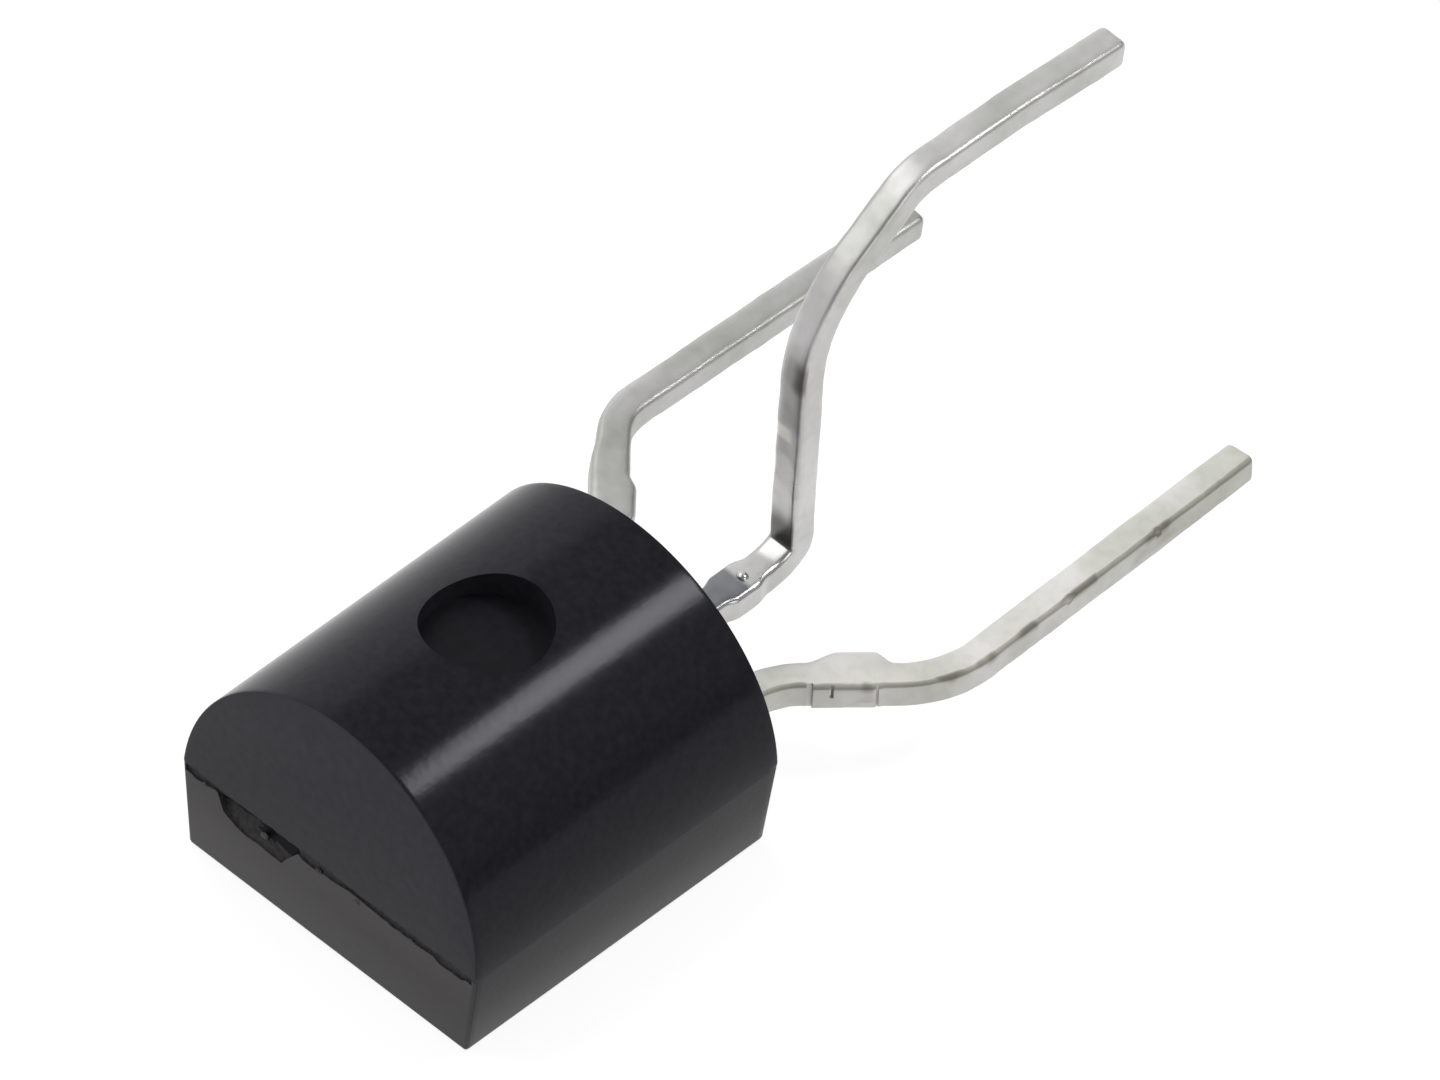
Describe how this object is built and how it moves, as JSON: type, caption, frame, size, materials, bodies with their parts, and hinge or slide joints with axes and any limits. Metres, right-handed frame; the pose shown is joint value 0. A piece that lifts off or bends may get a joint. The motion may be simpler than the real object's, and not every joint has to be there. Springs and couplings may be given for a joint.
{
  "type": "triac",
  "caption": "Through-hole triac: a D-shaped moulded plastic body with tinned leads, the middle one bent up and the outer ones splayed.",
  "frame": {"origin": "centre of the body's flat face", "axes": "+Z out of the flat face through the round side, +Y along the leads, +X towards main terminal 2"},
  "size_m": [0.0059, 0.0126, 0.0063],
  "materials": {
    "moulding_compound": "moulded black epoxy, matt on the ends and smoother on the round side",
    "tinned_lead": "bright tin plating, slightly uneven, with sheared edges",
    "solder": "reflowed soft solder",
    "silicon": "sawn silicon with aluminium pads",
    "gold_wire": "drawn gold",
    "aluminium_wire": "drawn aluminium"
  },
  "bodies": {
    "root": {"moulded_body": "moulding_compound", "lead_main_terminal_1": "tinned_lead", "lead_gate": "tinned_lead", "lead_main_terminal_2": "tinned_lead", "chip_solder": "solder", "triac_chip": "silicon", "gate_bond_wire": "gold_wire", "main_terminal_bond_wire": "aluminium_wire"}
  },
  "joints": []
}
